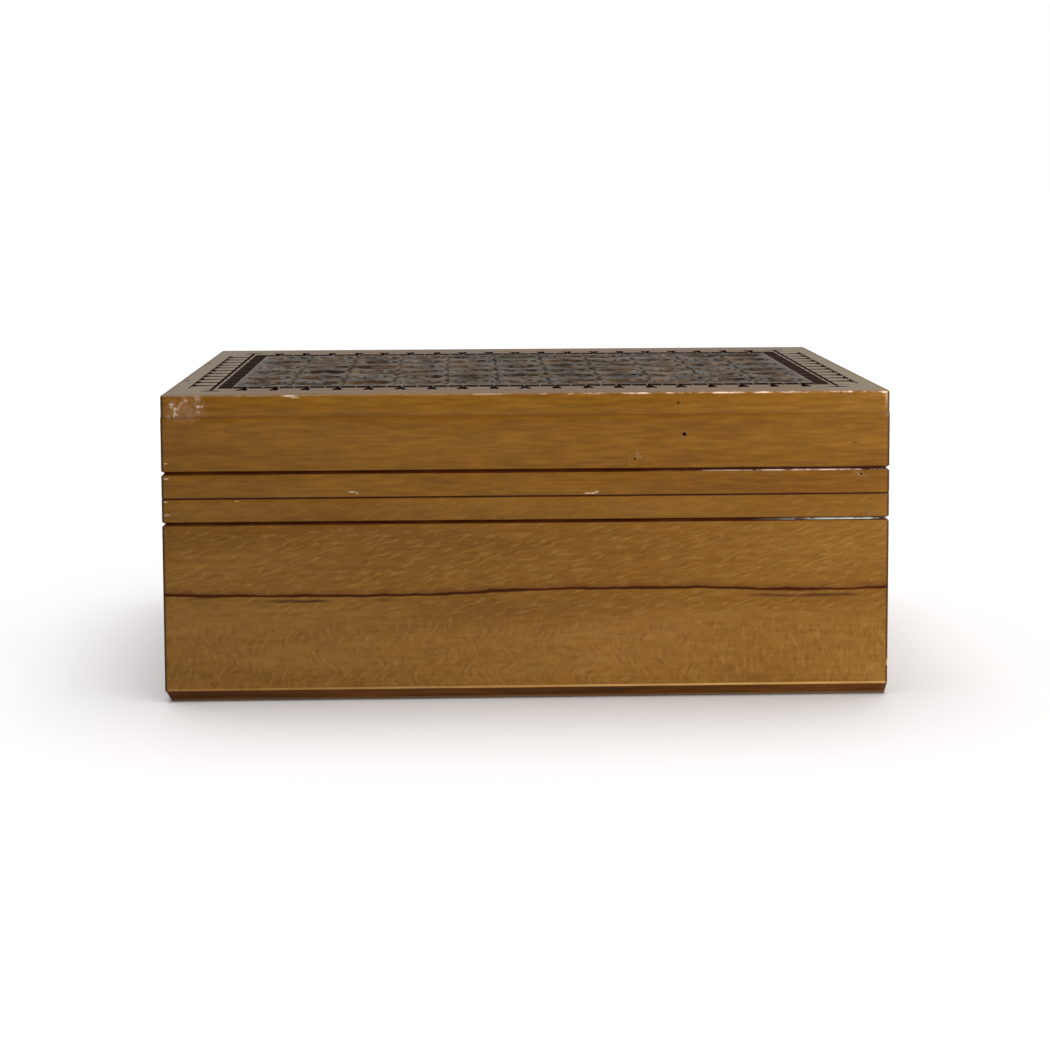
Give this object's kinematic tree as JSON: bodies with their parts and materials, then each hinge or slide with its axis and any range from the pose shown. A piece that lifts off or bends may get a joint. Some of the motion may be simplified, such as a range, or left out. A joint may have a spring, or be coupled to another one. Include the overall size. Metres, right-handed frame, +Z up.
{
  "type": "carved wooden box",
  "caption": "Low rectangular wooden keepsake box with a lift-off lid, lines cut round it beside the joint, and a lid top carved with a tabbed border round a field of rosettes.",
  "frame": {"origin": "centre of the underside, on the surface that the box stands on", "axes": "+X along the front towards the viewer's right, +Y from the front to the back, +Z up"},
  "size_m": [0.2, 0.142, 0.085],
  "materials": {
    "base_wood": "glossy clear varnish over flecked honey-brown wood",
    "lid_wood": "glossy clear varnish over plain honey-brown wood",
    "carved_wood": "varnished, stained dark brown in the carving",
    "foot_wood": "varnished dark brown"
  },
  "bodies": {
    "root": {"base_bottom": "foot_wood", "base_front": "base_wood", "base_right": "base_wood", "base_back": "base_wood", "base_left": "base_wood", "lid_front": "lid_wood", "lid_right": "lid_wood", "lid_back": "lid_wood", "lid_left": "lid_wood", "lid_top": "carved_wood"}
  },
  "joints": []
}
